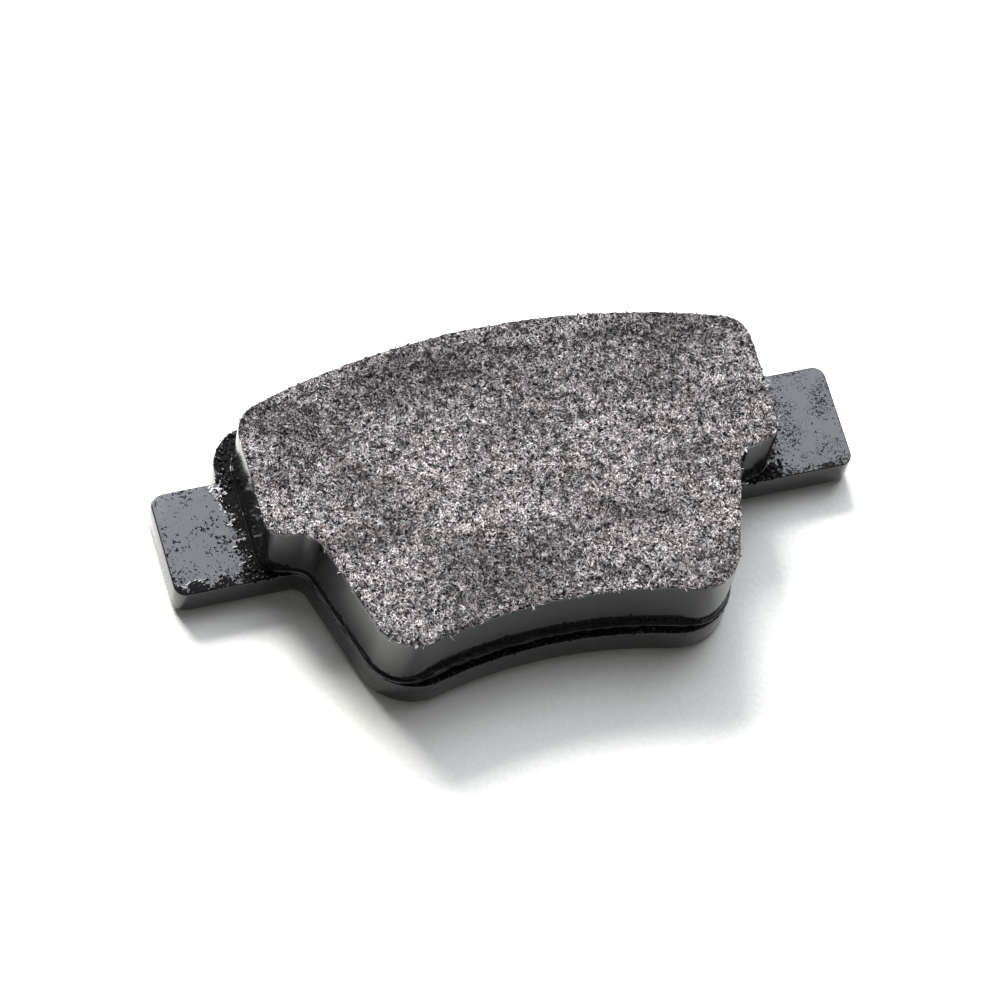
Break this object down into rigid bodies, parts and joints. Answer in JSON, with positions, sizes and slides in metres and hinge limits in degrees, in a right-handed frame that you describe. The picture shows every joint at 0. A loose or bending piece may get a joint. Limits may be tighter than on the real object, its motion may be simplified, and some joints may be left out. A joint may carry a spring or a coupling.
{
  "type": "disc brake pad",
  "caption": "Disc brake pad: friction block moulded on a black steel backing plate with square ears, and a laminated noise shim on its back.",
  "frame": {"origin": "middle of the line joining the two ears, on the shim's outer face, which is the pad's back", "axes": "+X along the ears, +Y from the disc's axle to its rim, +Z out of the friction face towards the disc"},
  "size_m": [0.109, 0.054, 0.0194],
  "materials": {
    "plate_paint": "gloss black dip paint with a light orange peel",
    "bond_adhesive": "cured phenolic adhesive",
    "underlayer": "moulded, painted over at its edge",
    "friction": "ground composite lining with steel fibres",
    "shim_adhesive": "pressure-sensitive film",
    "shim_steel": "cold-rolled strip",
    "shim_rubber": "vulcanised",
    "shim_coat": "satin dark coating"
  },
  "bodies": {
    "root": {"backing_plate": "plate_paint", "bond_film": "bond_adhesive", "underlayer": "underlayer", "friction_block": "friction", "shim_adhesive": "shim_adhesive", "shim_inner_steel": "shim_steel", "shim_rubber_core": "shim_rubber", "shim_outer_steel": "shim_coat"}
  },
  "joints": []
}
